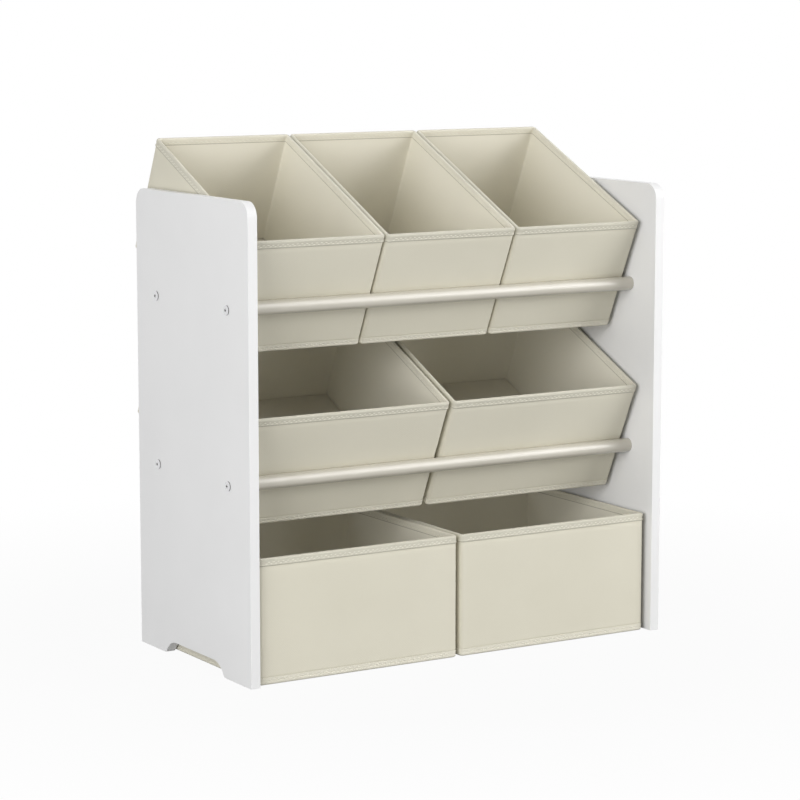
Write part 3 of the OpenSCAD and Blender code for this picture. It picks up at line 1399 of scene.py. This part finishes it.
@dataclass
class Bins:
    """The seven bins, sewn from one pattern for each width."""

    STANCES = {
        Stance.TOP_RODS: ("top_left_bin", "top_centre_bin", "top_right_bin"),
        Stance.MIDDLE_RODS: ("middle_left_bin", "middle_right_bin"),
        Stance.FLOOR: ("floor_left_bin", "floor_right_bin"),
    }

    def build(self) -> None:
        """Sew each width once and set its copies in place."""
        sewn: dict[float, tuple[BinPattern, dict[str, tuple[Blank, Finish]]]] = {}
        for stance, names in self.STANCES.items():
            for name in names:
                one = Bin(name, stance)
                width = round(one.width, 5)
                if width not in sewn:
                    pattern = BinPattern(width)
                    sewn[width] = (pattern, self.sew(pattern))
                one.build(*sewn[width])
        for _, parts in sewn.values():
            for part, _ in parts.values():
                bpy.data.objects.remove(part.obj)

    def sew(self, pattern: BinPattern) -> dict[str, tuple[Blank, Finish]]:
        """Make the pieces of one width.

        Args:
            pattern: The cut.

        Returns:
            Each piece with its finish, by name.
        """
        return {
            "cover": (pattern.cover(), CREAM_CLOTH),
            "lining": (pattern.lining(), LINING_PAINTED_LIGHT),
            "folded_tape": (pattern.rim_tape(), CREAM_TAPE),
            "hem": (pattern.hem(), HEM_PAINTED_FLOOR_LIGHT),
            "base": (pattern.base(), BASE_CLOTH),
            "stitches": (pattern.stitches(), CREAM_THREAD),
        }


@dataclass(frozen=True)
class Lamp:
    """A large soft lamp that points at the shelf."""

    name: str
    azimuth: float
    elevation: float
    power: float
    size: float = 2.4
    distance: float = 3.6
    aim: tuple[float, float, float] = (0.0, 0.0, 0.3)

    def hang(self) -> None:
        """Hang the lamp and turn it to the shelf."""
        data = bpy.data.lights.new(self.name, "AREA")
        data.size = self.size
        data.energy = self.power
        lamp = bpy.data.objects.new(self.name, data)
        bpy.context.scene.collection.objects.link(lamp)
        turn, rise = math.radians(self.azimuth), math.radians(self.elevation)
        way = Vector((math.sin(turn) * math.cos(rise), -math.cos(turn) * math.cos(rise),
                      math.sin(rise)))
        lamp.location = Vector(self.aim) + way * self.distance
        lamp.rotation_euler = (-way).to_track_quat("-Z", "Y").to_euler()


@dataclass
class Studio:
    """Camera, lamps, floor and white surround."""

    azimuth: float = math.radians(31.58)
    elevation: float = math.radians(8.416)
    distance: float = 3.6833
    aim: tuple[float, float, float] = (0.00824, 0.0, 0.31437)
    lens: float = 125.0
    surround: float = 0.25
    floor_tone: float = 0.35
    floor_size: float = 30.0
    floor_glow: float = 0.95
    shadow_reach: tuple[float, float] = (0.45, 1.1)
    lamps: tuple[Lamp, ...] = (
        Lamp("left_lamp", -60, 10, 93),
        Lamp("right_lamp", 45, 35, 46),
        Lamp("low_right_lamp", 45, 10, 60),
        Lamp("rear_lamp", 180, 60, 37),
    )

    def build(self) -> None:
        """Set up everything that isn't the shelf."""
        scene = bpy.context.scene
        scene.view_settings.view_transform = "Standard"
        self.set_camera(scene)
        self.light_surround(scene)
        self.lay_floor()
        for lamp in self.lamps:
            lamp.hang()

    def set_camera(self, scene: bpy.types.Scene) -> None:
        """Put the camera where the photograph was taken from."""
        data = bpy.data.cameras.new("photo_camera")
        data.lens = self.lens
        camera = bpy.data.objects.new("photo_camera", data)
        scene.collection.objects.link(camera)
        flat = math.cos(self.elevation)
        back = Vector((-math.sin(self.azimuth) * flat, -math.cos(self.azimuth) * flat,
                       math.sin(self.elevation)))
        camera.location = Vector(self.aim) + back * self.distance
        camera.rotation_euler = (-back).to_track_quat("-Z", "Y").to_euler()
        scene.camera = camera

    def light_surround(self, scene: bpy.types.Scene) -> None:
        """Light evenly from all round, and show white to the camera and in gloss."""
        world = bpy.data.worlds.new("white_surround")
        scene.world = world
        world.use_nodes = True
        tree = world.node_tree
        tree.nodes.clear()
        even = tree.nodes.new("ShaderNodeBackground")
        even.inputs["Strength"].default_value = self.surround
        white = tree.nodes.new("ShaderNodeBackground")
        white.inputs["Color"].default_value = (1, 1, 1, 1)
        seen = seen_ray(tree)
        even.inputs["Color"].default_value = (1, 1, 1, 1)
        mix = tree.nodes.new("ShaderNodeMixShader")
        output = tree.nodes.new("ShaderNodeOutputWorld")
        tree.links.new(seen, mix.inputs["Fac"])
        tree.links.new(even.outputs[0], mix.inputs[1])
        tree.links.new(white.outputs[0], mix.inputs[2])
        tree.links.new(mix.outputs[0], output.inputs["Surface"])

    def lay_floor(self) -> None:
        """Lay a plain pale floor that shows white and keeps a soft shadow."""
        clear_selection()
        bpy.ops.mesh.primitive_plane_add(size=self.floor_size, location=(0, 0, -0.2 * MM))
        floor = Blank(bpy.context.active_object, "studio_floor")
        nodes = Nodes("pale_floor")
        nodes.shader.inputs["Base Color"].default_value = (*[self.floor_tone] * 3, 1)
        nodes.set({"Roughness": 0.9, "Specular IOR Level": 0.0})
        glow = nodes.add("Emission")
        glow.inputs["Strength"].default_value = 1.0
        mix = nodes.add("MixShader")
        away = nodes.add("VectorMath", operation="LENGTH")
        nodes.link(nodes.place("Object"), away.inputs[0])
        share = nodes.add("Math", operation="MULTIPLY")
        near, far = self.shadow_reach
        glowing = nodes.spread(away.outputs["Value"], near, far, self.floor_glow, 1.0)
        nodes.link(seen_ray(nodes.tree), share.inputs[0])
        nodes.link(glowing, share.inputs[1])
        nodes.link(share.outputs[0], mix.inputs["Fac"])
        nodes.link(nodes.shader.outputs[0], mix.inputs[1])
        nodes.link(glow.outputs[0], mix.inputs[2])
        nodes.link(mix.outputs[0], nodes.tree.nodes["Material Output"].inputs["Surface"])
        floor.obj.data.materials.append(nodes.made)


def seen_ray(tree: bpy.types.NodeTree) -> bpy.types.NodeSocket:
    """A value of 1 on rays from the camera, in gloss and through glass.

    Args:
        tree: The node tree to add it to.

    Returns:
        The value.
    """
    path = tree.nodes.new("ShaderNodeLightPath")
    total = path.outputs["Is Camera Ray"]
    for other in ("Is Glossy Ray", "Is Transmission Ray"):
        either = tree.nodes.new("ShaderNodeMath")
        either.operation = "MAXIMUM"
        tree.links.new(total, either.inputs[0])
        tree.links.new(path.outputs[other], either.inputs[1])
        total = either.outputs[0]
    return total


def main() -> None:
    """Build the shelf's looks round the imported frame."""
    logging.basicConfig(level=logging.INFO, format="%(name)s: %(message)s")
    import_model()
    Studio().build()
    for side in Side:
        SidePanel(side).build()
        RodScrews(side).build()
    for name in Rod.NAMES:
        Rod(name).build()
    Bins().build()


if __name__ == "__main__":
    main()
